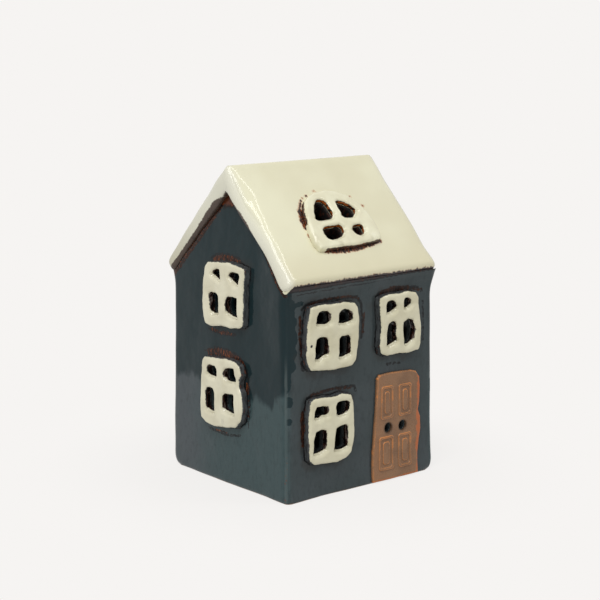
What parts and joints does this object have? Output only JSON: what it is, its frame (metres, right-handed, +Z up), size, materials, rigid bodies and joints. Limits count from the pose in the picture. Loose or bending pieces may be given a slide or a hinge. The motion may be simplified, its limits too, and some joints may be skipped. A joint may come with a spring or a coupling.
{
  "type": "tealight house",
  "caption": "Glazed ceramic house for a tealight: pitched roof, raised windows pierced for the light, panelled door and an arched opening at the back through which the light slides.",
  "frame": {"origin": "middle of the base, on the surface the house stands on", "axes": "+Z up; the front with the door faces -Y; the gables face -X and +X; the arch for the light faces +Y"},
  "size_m": [0.0924, 0.0877, 0.1397],
  "materials": {
    "wall_glaze": "glossy",
    "roof_glaze": "glossy",
    "window_glaze": "glossy",
    "door_glaze": "satin",
    "bare_clay": "matte",
    "cup_foil": "satin",
    "wax": "waxy",
    "wick": "matte",
    "holder_metal": "satin"
  },
  "bodies": {
    "house": {"floor": "bare_clay", "front_wall": "wall_glaze", "back_wall": "wall_glaze", "left_gable_wall": "wall_glaze", "right_gable_wall": "wall_glaze", "front_roof_slab": "roof_glaze", "back_roof_slab": "roof_glaze", "roof_fanlight": "roof_glaze", "front_upper_left_window": "window_glaze", "front_upper_right_window": "window_glaze", "front_lower_left_window": "window_glaze", "left_gable_upper_window": "window_glaze", "left_gable_lower_window": "window_glaze", "right_gable_upper_window": "window_glaze", "right_gable_lower_window": "window_glaze", "door_panel": "door_glaze"},
    "tealight": {"tealight_cup": "cup_foil", "tealight_wax": "wax", "tealight_wick": "wick", "tealight_wick_holder": "holder_metal"}
  },
  "joints": [
    {"name": "tealight_slide", "type": "slide", "parent": "house", "child": "tealight", "axis": [0, 1, 0], "range_m": [0, 0.07]}
  ]
}
